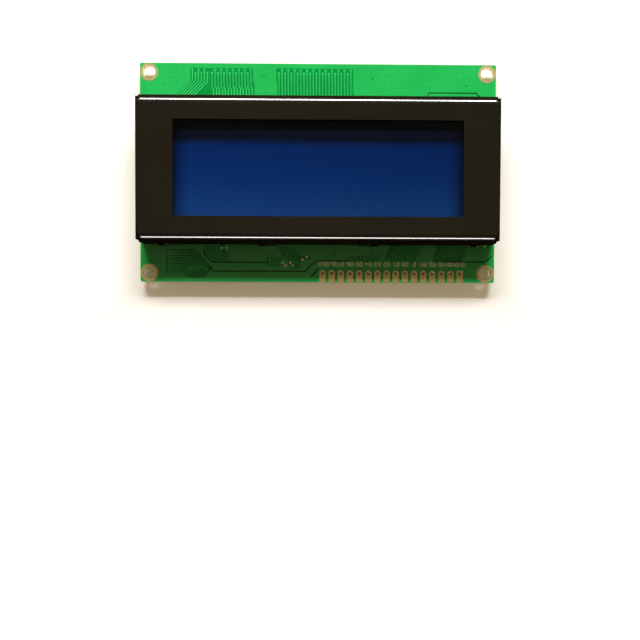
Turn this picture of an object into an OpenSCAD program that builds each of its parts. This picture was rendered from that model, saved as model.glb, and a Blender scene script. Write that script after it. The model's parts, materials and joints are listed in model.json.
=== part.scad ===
// Character LCD module, 20 characters by 4 rows: a circuit board that carries a folded metal
// bezel, and under the bezel a liquid crystal cell, two elastomer connectors and an edge-lit
// backlight. Chip-on-board drivers and chip resistors sit on the rear face.
//
// Frame: millimetres. X runs to the reader's right, Y up the display, Z out of the screen.
// The origin is the centre of the four mounting holes, on the board's rear face.

/* [Circuit board] */
// Width of the board, along the rows of characters
board_w = 98; // [94:0.5:104]
// Height of the board
board_h = 60; // [58:0.5:66]
// Thickness of the board
board_t = 1.6; // [1:0.1:2]
// Radius of the board's four corners
board_corner_r = 0.5; // [0.2:0.1:1.2]
// Thickness of the copper of pads and plated bores
copper_t = 0.05; // [0.03:0.01:0.08]
// Bore of the two tooling holes
tooling_bore = 1.3; // [0.8:0.1:1.6]
// From the board's side edge to a tooling hole
tooling_inset_x = 2.5; // [2:0.1:3.2]
// From the board's long edge to a tooling hole
tooling_inset_y = 10.4; // [9.6:0.1:11]

/* [Mounting holes] */
// Clear bore of a mounting hole
mount_bore = 3.5; // [2.5:0.1:3.8]
// From two board edges to the centre of a mounting hole
mount_inset = 2.5; // [2.5:0.1:3]
// Width of the plated land round a mounting hole
mount_land = 0.65; // [0.3:0.05:0.7]

/* [Header row] */
// Number of header holes
header_pins = 16; // [14:1:16]
// Distance from one header hole to the next
header_pitch = 2.54; // [2.2:0.01:2.6]
// Clear bore of a header hole
header_bore = 1; // [0.8:0.05:1.2]
// Width of a header pad
header_pad_w = 1.75; // [1.5:0.05:1.95]
// From the board's left edge to the first hole
header_inset_x = 9.55; // [8:0.05:12]
// From the board's top edge to the row
header_inset_y = 2.45; // [2:0.05:3]
// Bare laminate left between a header pad and the board's edge
header_edge_gap = 0.1; // [0.05:0.05:0.3]

/* [Bezel] */
// From the board's side edge to the bezel's end wall
bezel_side_gap = 0.5; // [0:0.1:1.5]
// Depth of the bezel, across the rows
bezel_d = 39.2; // [38.4:0.1:40.4]
// Height of the bezel above the board
bezel_h = 9.3; // [8:0.1:11]
// Thickness of the bezel's sheet
sheet_t = 0.5; // [0.4:0.05:0.7]
// Outer radius of the two long bends
bend_r = 2.4; // [1.6:0.1:2.6]
// Outer radius of the two end bends, and the cut that frees the walls at each corner
end_bend_r = 0.7; // [0.6:0.05:0.9]
// Width of the window
window_w = 77.2; // [70:0.2:82]
// Height of the window
window_h = 25.6; // [22:0.2:28]
// Radius of the window's corners
window_r = 0.6; // [0.3:0.1:1.5]

/* [Hook tabs] */
// From the bezel's end to the middle of an outer slot
tab_inset = 6.4; // [5.4:0.1:8]
// From the module's middle to the middle of an inner slot
tab_inner_x = 14; // [10:0.5:20]
// Length of a slot in the board
slot_l = 6; // [5.2:0.1:7]
// Width of a slot in the board
slot_w = 1.1; // [0.9:0.05:1.3]
// Gap between a tab and the inner side of its slot
slot_clear = 0.15; // [0.05:0.05:0.3]
// Gap between a tab's neck and the outer end of its slot
neck_clear = 0.25; // [0.1:0.05:0.5]
// Width of a tab's neck
neck_w = 2; // [1.4:0.1:2.4]
// Length of a tab's head
head_l = 5.2; // [4.2:0.1:5.6]
// Height of a tab's head below the board
head_h = 1.9; // [1.8:0.1:2.4]
// Turn given to each head to lock the bezel, in degrees
head_twist = 45; // [30:1:60]
// Length of the neck that takes the twist
twist_h = 0.9; // [0.5:0.1:1.2]
// How much the twisted metal draws thinner
twist_thinning = 0.06; // [0.04:0.01:0.1]
// Length of the copper land beside a slot
tab_land_l = 6.4; // [5.6:0.1:7]
// Width of the copper land beside a slot
tab_land_w = 3; // [2.4:0.1:3.4]
// Bare laminate between a slot and its copper land
tab_land_gap = 0.2; // [0.1:0.05:0.4]

/* [Display cell] */
// Thickness of each glass plate
glass_t = 1.1; // [0.7:0.1:1.3]
// Clearance from the front glass's long edge to the bend above it
glass_gap = 0.15; // [0.1:0.05:0.4]
// Clearance from the glass's ends to the end walls
glass_end_gap = 0.6; // [0.3:0.05:0.8]
// Ledge of the front glass beyond the rear glass, for the contacts
contact_ledge = 3; // [2.8:0.1:3.4]
// Thickness of the seal that holds the two plates apart
seal_t = 0.1; // [0.05:0.01:0.2]
// Width of the seal
seal_w = 1.2; // [0.8:0.1:2]
// Length of the filling port in the seal's end
port_l = 4; // [2:0.5:6]
// How far the port's plug bulges past the glass
port_bulge = 0.25; // [0.1:0.05:0.35]
// Thickness of each polarizer
polarizer_t = 0.2; // [0.15:0.01:0.3]
// Bare edge left round each polarizer on the rear glass
polarizer_inset = 0.5; // [0.3:0.1:1.5]

/* [Elastomer connectors] */
// Width of a connector strip
zebra_w = 2.4; // [1.8:0.1:2.6]
// Gap between a strip and the backlight's frame
zebra_gap = 0.2; // [0.1:0.05:0.3]
// How far a strip stops short of the end of the glass
zebra_inset = 4; // [2:0.5:8]

/* [Backlight] */
// Gap between the backlight's frame and the bezel's end walls
tray_gap = 0.3; // [0.2:0.05:0.6]
// Thickness of the frame's floor
tray_floor = 1.4; // [0.8:0.1:1.8]
// Thickness of the frame's long walls and plain end wall
tray_wall = 1.2; // [0.8:0.1:1.6]
// Thickness of the frame's wall behind the lamps
lamp_wall = 0.7; // [0.5:0.05:1]
// Free play round what lies in the frame
tray_play = 0.1; // [0.05:0.05:0.2]
// Thickness of the reflector film
reflector_t = 0.2; // [0.1:0.05:0.4]
// Thickness of the diffuser film
diffuser_t = 0.3; // [0.1:0.05:0.5]
// Number of lamps along the end
led_count = 6; // [4:1:6]
// Distance from one lamp to the next
led_pitch = 4.2; // [3.6:0.1:4.6]
// Length of a lamp
led_l = 2.8; // [2:0.1:3.4]
// Height of a lamp
led_h = 1.4; // [1:0.1:2]
// Depth of a lamp, towards the light guide
led_d = 0.8; // [0.5:0.05:1]
// Depth of a lamp's emitting recess
led_recess = 0.2; // [0.1:0.05:0.3]
// Rim left round a lamp's emitting recess
led_rim = 0.25; // [0.15:0.05:0.35]
// Thickness of the lamps' strip board
strip_t = 0.6; // [0.4:0.05:0.8]
// Clearance from each end of the lamps' strip board to the tray's walls
strip_end_gap = 1; // [0.5:0.1:1.2]

/* [Lamp leads] */
// Place of the lamps' middle up the display
lamp_y = -0.25; // [-0.4:0.05:0.4]
// Distance between the two leads
lead_pitch = 11.9; // [10:0.1:14]
// Thickness of a lead
lead_t = 0.3; // [0.2:0.05:0.35]
// Width of a lead
lead_w = 0.6; // [0.4:0.05:0.65]
// Clear bore of a lead's hole in the board
lead_bore = 0.9; // [0.85:0.05:1.1]
// How far a lead stands out of the rear face
lead_tail = 1.2; // [1.1:0.05:1.5]
// Height of a lead's solder cone
solder_h = 0.9; // [0.5:0.05:1]
// Width of a lead's pad
lead_pad_w = 2; // [1.6:0.1:2.6]
// Height of a lead's pad
lead_pad_h = 3.3; // [2.4:0.1:4]

/* [Chips under epoxy] */
// Diameter of the controller's blob
blob_big_d = 11.8; // [10:0.1:12.4]
// Height of the controller's blob
blob_big_h = 1.7; // [1.4:0.05:1.75]
// Diameter of a driver's blob
blob_d = 10.1; // [9:0.1:11]
// Height of a driver's blob
blob_h = 1.55; // [1.3:0.05:1.7]
// Radius of a blob's rounded rim
blob_rim_r = 0.8; // [0.5:0.05:1]
// Length and width of the controller's die
die_big_l = 5.2; // [4:0.1:6]
// Length and width of a driver's die
die_l = 4.2; // [3:0.1:5]
// Thickness of a die
die_t = 0.35; // [0.25:0.05:0.5]
// From the board's left edge to the controller U1
u1_inset = 23.6; // [22:0.1:25]
// Place of the controller U1 up the board
u1_y = 5.2; // [4.8:0.1:6]
// From the board's left edge to driver U2
u2_inset = 23.5; // [22:0.1:25]
// Place of driver U2 up the board
u2_y = -9.5; // [-10:0.1:-9]
// Place of driver U3 along the rows
u3_x = 8.4; // [6:0.1:10]
// Place of driver U3 up the board
u3_y = 5.4; // [4:0.1:6]
// Place of driver U4 along the rows
u4_x = 7.1; // [6:0.1:9]
// Place of driver U4 up the board
u4_y = -9.65; // [-10:0.05:-8]
// From the board's right edge to driver U5
u5_inset = 16.4; // [16:0.1:19]
// Place of driver U5 up the board
u5_y = 0; // [-1:0.1:1]

/* [Chip parts] */
// Length of a chip resistor
chip_l = 2; // [1.6:0.05:2.2]
// Width of a chip resistor
chip_w = 1.25; // [1:0.05:1.4]
// Height of a chip resistor
chip_h = 0.55; // [0.4:0.05:0.7]
// Length of a chip's metal end
chip_end_l = 0.4; // [0.3:0.05:0.5]
// Thickness of a chip's metal end
chip_end_t = 0.04; // [0.03:0.01:0.06]
// How far a chip's solder reaches past its end
fillet_l = 0.9; // [0.5:0.05:1]
// Height of a chip's solder
fillet_h = 0.42; // [0.25:0.01:0.45]
// Distance from one resistor of the row to the next
chip_pitch = 2.54; // [2.2:0.01:2.6]
// From the board's left edge to the row of resistors
chip_row_inset = 6.6; // [6:0.1:8]
// Place of the row's lowest resistor up the board
chip_row_y = -4.7; // [-6:0.1:-3]
// From the board's right edge to resistor Rb, beside the lamps
rb_inset = 7.8; // [7.4:0.1:8.2]
// Place of resistor Rb up the board
rb_y = 5.1; // [4.6:0.1:6]
// From the board's left edge to resistor R8
r8_inset = 3.4; // [3.2:0.1:3.6]
// Place of resistor R8 up the board
r8_y = 12.95; // [12.5:0.05:13.4]
// Width of a resistor's land
chip_land_w = 1.4; // [1:0.05:1.45]

/* [Empty lands] */
// Width of the option lands R6 and R7
option_w = 1.45; // [1.2:0.05:1.6]
// Height of the option lands R6 and R7
option_h = 1.8; // [1.4:0.1:2]
// From the board's left edge to the lands of R6 and R7
option_inset = 1.3; // [1.1:0.1:1.6]
// Place of R7's free land up the board
r7_y = 11.8; // [11.4:0.1:12.4]
// Place of R6's middle up the board
r6_y = 5.95; // [5.5:0.05:6.4]
// Distance between R6's two lands
r6_pitch = 2.5; // [2.2:0.1:3]
// Length of each side of RD's lands
rd_side = 1.35; // [1:0.05:1.5]
// From the board's left edge to RD
rd_inset = 4.3; // [3.6:0.1:4.8]
// Place of RD's middle up the board
rd_y = -10.55; // [-12:0.05:-9.6]
// Distance between RD's two lands
rd_pitch = 1.9; // [1.7:0.1:2.6]
// Width of a capacitor's land
capacitor_w = 1.5; // [1.2:0.05:1.8]
// Height of a capacitor's land
capacitor_h = 1.75; // [1.4:0.05:1.9]
// Distance between the two lands of C1, the larger one
c1_pitch = 3; // [2.4:0.1:3.4]
// Distance between the two lands of C2
c2_pitch = 2.6; // [2.2:0.1:3]
// From the board's left edge to C1
c1_inset = 24.8; // [24:0.1:26]
// From the board's left edge to C2
c2_inset = 12.75; // [12:0.05:13.4]
// From the board's left edge to the converter U6
converter_inset = 18.8; // [18.2:0.1:19.4]
// From the board's bottom edge to C1, C2 and U6
option_row_y = 5.65; // [5.2:0.05:6]
// Distance from one converter land to the next
converter_pitch = 1.27; // [1.1:0.01:1.3]
// Distance between the converter's two rows of lands
converter_span = 5.2; // [4.6:0.1:5.6]
// Length of a converter land
converter_land_l = 2.25; // [1.6:0.05:2.4]
// Width of a converter land
converter_land_w = 0.7; // [0.5:0.05:0.8]

/* [Hidden] */
PLATE_NAMES = ["front_polarizer", "front_glass", "cell_seal", "fill_port_plug", "rear_glass",
    "rear_polarizer", "zebra_strip_upper", "zebra_strip_lower"];
BACKLIGHT_NAMES = ["diffuser_film", "light_guide", "reflector_film", "backlight_frame", "led_board",
    "anode_lead", "cathode_lead", "anode_solder", "cathode_solder"];
COPPER_NAMES = ["mounting_plating", "header_pads", "lead_plating", "tab_lands", "resistor_lands",
    "option_lands", "capacitor_lands", "converter_lands"];
LED_NAMES = [for (i = [1:led_count]) str("led_chip_", i)];
BLOB_NAMES = [for (i = [1:5]) str("glob_top_u", i)];
DIE_NAMES = [for (i = [1:5]) str("die_u", i)];
RESISTOR_NAMES = ["resistor_r1", "resistor_r2", "resistor_r3", "resistor_r4", "resistor_r5",
    "resistor_rf", "resistor_rb", "resistor_r8"];

// Faces of a drawn circle
$fn = 48;
// How far a cutter runs past what it cuts
over = 1;

// Bezel, from its outer size inwards
bezel_w = board_w - 2 * bezel_side_gap;
bezel_top = board_t + bezel_h;
bezel_under = bezel_top - sheet_t;
bezel_in_x = bezel_w / 2 - sheet_t;
bezel_in_y = bezel_d / 2 - sheet_t;

// Hook tabs: the four slots along one side, and each one's place
slot_in_y = bezel_in_y - slot_clear;
slot_y = slot_in_y + slot_w / 2;
wall_mid_y = bezel_d / 2 - sheet_t / 2;
tab_xs = [bezel_w / 2 - tab_inset, tab_inner_x];
// From the middle of a slot to the middle of its neck
neck_shift = slot_l / 2 - neck_clear - neck_w / 2;

// Display cell, stacked down from the bezel's face
glass_w = 2 * (bezel_in_x - glass_end_gap);
bend_in_r = bend_r - sheet_t;
front_glass_h = bezel_d - 2 * bend_r - 2 * glass_gap
    + 2 * sqrt(pow(bend_in_r, 2) - pow(bend_in_r - polarizer_t, 2));
rear_glass_h = front_glass_h - 2 * contact_ledge;
polarizer_w = glass_w - 2 * polarizer_inset;
polarizer_h = rear_glass_h - 2 * polarizer_inset;
front_polarizer_z = bezel_under - polarizer_t;
front_glass_z = front_polarizer_z - glass_t;
seal_z = front_glass_z - seal_t;
rear_glass_z = seal_z - glass_t;
rear_polarizer_z = rear_glass_z - polarizer_t;

// Elastomer connectors, from the board up to the front glass's ledge
zebra_l = glass_w - 2 * zebra_inset;
zebra_y = rear_glass_h / 2 + zebra_gap;

// Backlight, between the board and the rear polarizer
tray_x = bezel_in_x - tray_gap;
tray_h = rear_glass_h;
tray_top = rear_polarizer_z;
tray_floor_z = board_t + tray_floor;
pocket_left = -tray_x + tray_wall;
pocket_right = tray_x - lamp_wall;
pocket_h = tray_h - 2 * tray_wall;
lead_x = pocket_right - tray_play - lead_t / 2;
strip_x = lead_x - lead_t / 2 - strip_t;
lamp_x = strip_x - led_d;
pad_relief = copper_t + tray_play;
guide_left = pocket_left + tray_play;
guide_right = lamp_x - tray_play;
guide_h = pocket_h - 2 * tray_play;
strip_l = pocket_h - 2 * strip_end_gap;
guide_z = tray_floor_z + reflector_t;
diffuser_z = tray_top - diffuser_t;
guide_t = diffuser_z - guide_z;
lamp_mid_z = guide_z + guide_t / 2;
lead_ys = [lamp_y + lead_pitch / 2, lamp_y - lead_pitch / 2];

// Mounting holes and header row
mount_x = board_w / 2 - mount_inset;
mount_y = board_h / 2 - mount_inset;
header_x = -board_w / 2 + header_inset_x;
header_y = board_h / 2 - header_inset_y;

// The board's edges
left = -board_w / 2;
right = board_w / 2;
bottom = -board_h / 2;

// Chips under epoxy: place, then blob diameter, blob height and die size
blobs = [
    [left + u1_inset, u1_y, blob_big_d, blob_big_h, die_big_l],
    [left + u2_inset, u2_y, blob_d, blob_h, die_l],
    [u3_x, u3_y, blob_d, blob_h, die_l],
    [u4_x, u4_y, blob_d, blob_h, die_l],
    [right - u5_inset, u5_y, blob_d, blob_h, die_l]
];

// Chip resistors: place and direction, in the order of RESISTOR_NAMES
chip_row_x = left + chip_row_inset;
resistors = concat(
    [for (i = [1:5]) [chip_row_x, chip_row_y + i * chip_pitch, 0]],
    [[chip_row_x, chip_row_y, 0], [right - rb_inset, rb_y, 90], [left + r8_inset, r8_y, 90]]
);
chip_land_l = chip_end_l + fillet_l;

// ---------------------------------------------------------------- shared shapes

// Flat plate with rounded corners, centred
module rounded_rect(w, h, r) {
    square([w - 2 * r, h], center = true);
    square([w, h - 2 * r], center = true);
    for (x = [-1, 1], y = [-1, 1])
        translate([x * (w / 2 - r), y * (h / 2 - r)])
            circle(r);
}

// Slot with round ends, centred
module stadium(l, w) {
    square([l - w, w], center = true);
    for (x = [-1, 1])
        translate([x * (l - w) / 2, 0])
            circle(w / 2);
}

// Plate of a size centred on x and y, standing on z
module plate(size, z) {
    translate([-size[0] / 2, -size[1] / 2, z])
        cube(size);
}

// Copper land on the rear face
module land(w, h) {
    plate([w, h, copper_t], -copper_t);
}

// Puts its children at the four corners of a rectangle
module at_corners(x, y) {
    for (i = [-1, 1], j = [-1, 1])
        translate([i * x, j * y, 0])
            children();
}

// ---------------------------------------------------------------- board and copper

module circuit_board() {
    color("forestgreen")
        difference() {
            linear_extrude(board_t)
                rounded_rect(board_w, board_h, board_corner_r);
            at_corners(mount_x, mount_y)
                board_bore(mount_bore / 2 + copper_t);
            for (i = [0:header_pins - 1])
                translate([header_x + i * header_pitch, header_y, 0])
                    board_bore(header_bore / 2);
            for (y = lead_ys)
                translate([lead_x, y, 0])
                    board_bore(lead_bore / 2 + copper_t);
            for (i = [-1, 1])
                translate([-i * (board_w / 2 - tooling_inset_x), i * (board_h / 2 - tooling_inset_y), 0])
                    board_bore(tooling_bore / 2);
            for (x = tab_xs, i = [-1, 1], j = [-1, 1])
                translate([i * x, j * slot_y, -over])
                    linear_extrude(board_t + 2 * over)
                        stadium(slot_l, slot_w);
        }
}

module board_bore(r) {
    translate([0, 0, -over])
        cylinder(r = r, h = board_t + 2 * over);
}

// Bore through the board with a land on each face, given as a flat shape, and copper down its wall
module plated_bore(bore, wall_t) {
    difference() {
        union() {
            if (wall_t > 0)
                cylinder(r = bore / 2 + wall_t, h = board_t);
            for (z = [-copper_t, board_t])
                translate([0, 0, z])
                    linear_extrude(copper_t)
                        children();
        }
        translate([0, 0, -over])
            cylinder(r = bore / 2, h = board_t + 2 * over);
    }
}

module mounting_plating() {
    color("goldenrod")
        at_corners(mount_x, mount_y)
            plated_bore(mount_bore, copper_t)
                circle(mount_bore / 2 + mount_land);
}

// Pads of the header row, whose plated wall is too thin to draw
module header_pads() {
    pad_l = header_inset_y - header_edge_gap;
    color("goldenrod")
        for (i = [0:header_pins - 1])
            translate([header_x + i * header_pitch, header_y, 0])
                plated_bore(header_bore, 0) {
                    translate([-header_pad_w / 2, 0])
                        square([header_pad_w, pad_l]);
                    if (i == 0)
                        square(header_pad_w, center = true);
                    else
                        circle(header_pad_w / 2);
                }
}

module lead_plating() {
    color("goldenrod")
        for (y = lead_ys)
            translate([lead_x, y, 0])
                plated_bore(lead_bore, copper_t)
                    square([lead_pad_w, lead_pad_h], center = true);
}

module tab_lands() {
    color("peru")
        for (x = tab_xs, i = [-1, 1], j = [-1, 1])
            translate([i * x, j * (slot_in_y - tab_land_gap - tab_land_w / 2), -copper_t])
                linear_extrude(copper_t)
                    stadium(tab_land_l, tab_land_w);
}

// Lands of the parts R6, R7 and RD, which are not fitted
module option_lands() {
    color("goldenrod") {
        land_pair(left + option_inset, r6_y, r6_pitch, option_w, option_h);
        land_pair(left + rd_inset, rd_y, rd_pitch, rd_side, rd_side);
        translate([left + option_inset, r7_y, 0])
            land(option_w, option_h);
    }
}

module capacitor_lands() {
    color("goldenrod") {
        land_pair(left + c1_inset, bottom + option_row_y, c1_pitch, capacitor_w, capacitor_h);
        land_pair(left + c2_inset, bottom + option_row_y, c2_pitch, capacitor_w, capacitor_h);
    }
}

// Two lands, one above the other, round a place
module land_pair(x, y, pitch, w, h) {
    for (i = [-1, 1])
        translate([x, y + i * pitch / 2, 0])
            land(w, h);
}

module converter_lands() {
    color("goldenrod")
        for (i = [-1, 1], row = [-1.5:1.5])
            translate([
                left + converter_inset + i * converter_span / 2,
                bottom + option_row_y + row * converter_pitch,
                0
            ])
                land(converter_land_l, converter_land_w);
}

// ---------------------------------------------------------------- bezel

// Quarter of a ring from the top of a wall to the edge of the face
module bend_profile(r) {
    intersection() {
        difference() {
            circle(r);
            circle(r - sheet_t);
        }
        square(r);
    }
}

// Bend of a radius along X with the wall under it, on the +Y side
module folded_edge(r, bend_l, wall_l, reach) {
    translate([-bend_l / 2, reach - r, bezel_top - r])
        rotate([90, 0, 90])
            linear_extrude(bend_l)
                bend_profile(r);
    translate([-wall_l / 2, reach - sheet_t, board_t])
        cube([wall_l, sheet_t, bezel_h - r]);
}

// Folded from one sheet: face with the window, four bends, four walls and eight hook tabs
module bezel_frame() {
    long_l = bezel_w - 2 * end_bend_r;
    color("dimgray") {
        translate([0, 0, bezel_under])
            linear_extrude(sheet_t)
                difference() {
                    square([long_l, bezel_d - 2 * bend_r], center = true);
                    rounded_rect(window_w, window_h, window_r);
                }
        for (side = [0, 180])
            rotate([0, 0, side])
                folded_edge(bend_r, long_l, long_l, bezel_d / 2);
        for (side = [90, 270])
            rotate([0, 0, side])
                folded_edge(end_bend_r, bezel_d - 2 * bend_r, bezel_d - 2 * end_bend_r, bezel_w / 2);
        for (x = tab_xs, i = [-1, 1], j = [-1, 1])
            hook_tab(i, j, x + neck_shift);
    }
}

// Neck through the board and a head turned across the slot, at the signs of its quarter
module hook_tab(i, j, x) {
    turn = -i * j * head_twist;
    translate([i * x, j * wall_mid_y, 0]) {
        plate([neck_w, sheet_t, board_t + 2 * copper_t], -2 * copper_t);
        rotate([180, 0, 0])
            linear_extrude(twist_h, twist = turn, slices = 5, segments = 4)
                square([neck_w - twist_thinning, sheet_t - twist_thinning], center = true);
        rotate([0, 0, -turn])
            translate([(i > 0 ? -head_l + neck_w / 2 : -neck_w / 2), -sheet_t / 2, -head_h])
                cube([head_l, sheet_t, head_h - copper_t]);
    }
}

// ---------------------------------------------------------------- display cell

module front_polarizer() {
    color("midnightblue")
        plate([polarizer_w, polarizer_h, polarizer_t], front_polarizer_z);
}

module front_glass() {
    color("lightsteelblue")
        plate([glass_w, front_glass_h, glass_t], front_glass_z);
}

module cell_seal() {
    color("gray")
        difference() {
            plate([glass_w, rear_glass_h, seal_t], seal_z);
            plate([glass_w - 2 * seal_w, rear_glass_h - 2 * seal_w, seal_t + 2 * over], seal_z - over);
            translate([-glass_w / 2, -port_l / 2, seal_z - over])
                cube([seal_w, port_l, seal_t + 2 * over]);
        }
}

// Fills the port and bulges past the edges of both plates
module fill_port_plug() {
    bulge_h = seal_t + glass_t;
    color("burlywood") {
        translate([-glass_w / 2, -port_l / 2, seal_z])
            cube([seal_w, port_l, seal_t]);
        translate([-glass_w / 2 - port_bulge, -port_l / 2, seal_z - glass_t / 2])
            cube([port_bulge, port_l, bulge_h]);
    }
}

module rear_glass() {
    color("lightsteelblue")
        plate([glass_w, rear_glass_h, glass_t], rear_glass_z);
}

module rear_polarizer() {
    color("midnightblue")
        plate([polarizer_w, polarizer_h, polarizer_t], rear_polarizer_z);
}

module zebra_strip(side) {
    translate([-zebra_l / 2, side > 0 ? zebra_y : -zebra_y - zebra_w, board_t])
        cube([zebra_l, zebra_w, front_glass_z - board_t]);
}

module zebra_strip_upper() {
    color("slategray")
        zebra_strip(1);
}

module zebra_strip_lower() {
    color("slategray")
        zebra_strip(-1);
}

// ---------------------------------------------------------------- backlight

// Sheet or block as long and high as the frame's pocket allows
module pocket_layer(z, t) {
    translate([guide_left, -guide_h / 2, z])
        cube([guide_right - guide_left, guide_h, t]);
}

module diffuser_film() {
    color("white")
        pocket_layer(diffuser_z, diffuser_t);
}

module light_guide() {
    color("aliceblue")
        pocket_layer(guide_z, guide_t);
}

module reflector_film() {
    color("whitesmoke")
        pocket_layer(tray_floor_z, reflector_t);
}

// White tray, open to the front: its floor has a slot for each lead, relieved over the lead's pad
module backlight_frame() {
    color("white")
        difference() {
            plate([2 * tray_x, tray_h, tray_top - board_t], board_t);
            translate([pocket_left, -pocket_h / 2, tray_floor_z])
                cube([pocket_right - pocket_left, pocket_h, tray_top]);
            for (y = lead_ys)
                translate([lead_x, y, 0]) {
                    plate([lead_t + 2 * tray_play, lead_w + 2 * tray_play, tray_top], 0);
                    plate([lead_pad_w + 2 * tray_play, lead_pad_h + 2 * tray_play, pad_relief], board_t);
                }
        }
}

module led_board() {
    color("whitesmoke")
        translate([strip_x, -strip_l / 2, tray_floor_z])
            cube([strip_t, strip_l, tray_top - tray_floor_z]);
}

// Lamp number i, counted up the display, with its emitting recess towards the light guide
module led_chip(i) {
    y = lamp_y + (i - (led_count + 1) / 2) * led_pitch;
    color("lightyellow")
        translate([lamp_x, y - led_l / 2, lamp_mid_z - led_h / 2])
            difference() {
                cube([led_d, led_l, led_h]);
                translate([-over, led_rim, led_rim])
                    cube([led_recess + over, led_l - 2 * led_rim, led_h - 2 * led_rim]);
            }
}

module lead(y) {
    color("silver")
        translate([lead_x, y, 0])
            plate([lead_t, lead_w, lead_tail + lamp_mid_z + led_h / 2], -lead_tail);
}

module anode_lead() {
    lead(lead_ys[0]);
}

module cathode_lead() {
    lead(lead_ys[1]);
}

// Solder cone round a lead, seated on its pad
module lead_solder(y) {
    color("lightgray")
        translate([lead_x, y, 0])
            difference() {
                translate([0, 0, -copper_t - solder_h])
                    cylinder(r1 = lead_w / 2 + copper_t, r2 = lead_pad_w / 2, h = solder_h);
                plate([lead_t, lead_w, lead_tail + over], -lead_tail - over);
            }
}

module anode_solder() {
    lead_solder(lead_ys[0]);
}

module cathode_solder() {
    lead_solder(lead_ys[1]);
}

// ---------------------------------------------------------------- chips under epoxy

// Half profile of a drop: a shallow crown that runs into a rounded rim
module drop_profile(r, h) {
    rim_x = r - blob_rim_r;
    crown_r = (rim_x * rim_x + h * h - blob_rim_r * blob_rim_r) / (2 * (h - blob_rim_r));
    join_x = rim_x * crown_r / (crown_r - blob_rim_r);
    intersection() {
        translate([0, h - crown_r])
            circle(crown_r, $fn = 4 * $fn);
        square([join_x, h]);
    }
    intersection() {
        translate([rim_x, 0])
            circle(blob_rim_r);
        translate([rim_x, 0])
            square([blob_rim_r, h]);
    }
}

module glob_top(n) {
    b = blobs[n];
    color("#1c1a1a")
        translate([b[0], b[1], 0])
            difference() {
                rotate([180, 0, 0])
                    rotate_extrude()
                        drop_profile(b[2] / 2, b[3]);
                die_block(b[4]);
            }
}

module die_block(l) {
    plate([l, l, die_t], -die_t);
}

module die(n) {
    color("slategray")
        translate([blobs[n][0], blobs[n][1], 0])
            die_block(blobs[n][4]);
}

// ---------------------------------------------------------------- chip resistors

// Puts its children at a resistor's place, in its direction, with +Z out of the rear face
module at_resistor(n) {
    r = resistors[n];
    translate([r[0], r[1], -copper_t])
        rotate([180, 0, r[2]])
            children();
}

// Ceramic body between the two metal ends
module resistor(n) {
    color("#2b2b2b")
        at_resistor(n)
            difference() {
                plate([chip_l, chip_w, chip_h], 0);
                for (i = [-1, 1])
                    chip_end(i);
            }
}

// Metal end that wraps the top, end and underside of a chip
module chip_end(i) {
    scale([i, 1, 1])
        translate([chip_l / 2 - chip_end_l, -chip_w / 2, 0])
            difference() {
                cube([chip_end_l, chip_w, chip_h]);
                translate([-over, -over, chip_end_t])
                    cube([chip_end_l - chip_end_t + over, chip_w + 2 * over, chip_h - 2 * chip_end_t]);
            }
}

module resistor_terminals() {
    color("silver")
        for (n = [0:len(resistors) - 1], i = [-1, 1])
            at_resistor(n)
                chip_end(i);
}

// Wedge of solder from each metal end down to its land
module resistor_solder() {
    color("lightgray")
        for (n = [0:len(resistors) - 1], i = [-1, 1])
            at_resistor(n)
                scale([i, 1, 1])
                    translate([chip_l / 2, chip_w / 2, 0])
                        rotate([90, 0, 0])
                            linear_extrude(chip_w)
                                polygon([[0, 0], [fillet_l, 0], [0, fillet_h]]);
}

module resistor_lands() {
    color("goldenrod")
        for (n = [0:len(resistors) - 1], i = [-1, 1])
            at_resistor(n)
                translate([i * (chip_l / 2 - chip_end_l + chip_land_l / 2), 0, 0])
                    plate([chip_land_l, chip_land_w, copper_t], -copper_t);
}

// ---------------------------------------------------------------- assembly

circuit_board();
bezel_frame();
front_polarizer();
front_glass();
cell_seal();
fill_port_plug();
rear_glass();
rear_polarizer();
zebra_strip_upper();
zebra_strip_lower();
diffuser_film();
light_guide();
reflector_film();
backlight_frame();
led_board();
anode_lead();
cathode_lead();
anode_solder();
cathode_solder();
mounting_plating();
header_pads();
lead_plating();
tab_lands();
resistor_lands();
option_lands();
capacitor_lands();
converter_lands();
resistor_terminals();
resistor_solder();
for (i = [1:led_count])
    led_chip(i);
for (n = [0:len(blobs) - 1]) {
    glob_top(n);
    die(n);
}
for (n = [0:len(resistors) - 1])
    resistor(n);
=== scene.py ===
"""Looks of a character LCD module of 20 by 4 characters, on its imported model.

The model's frame: the board's rear face is z = 0, the display looks along +Z, and +Y is the edge with
the header row. Sizes on the module are in millimetres and are turned to metres as geometry is made;
lamps are in metres and watts.
"""
import json
import math

import bpy
from mathutils import Matrix, Vector


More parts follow.
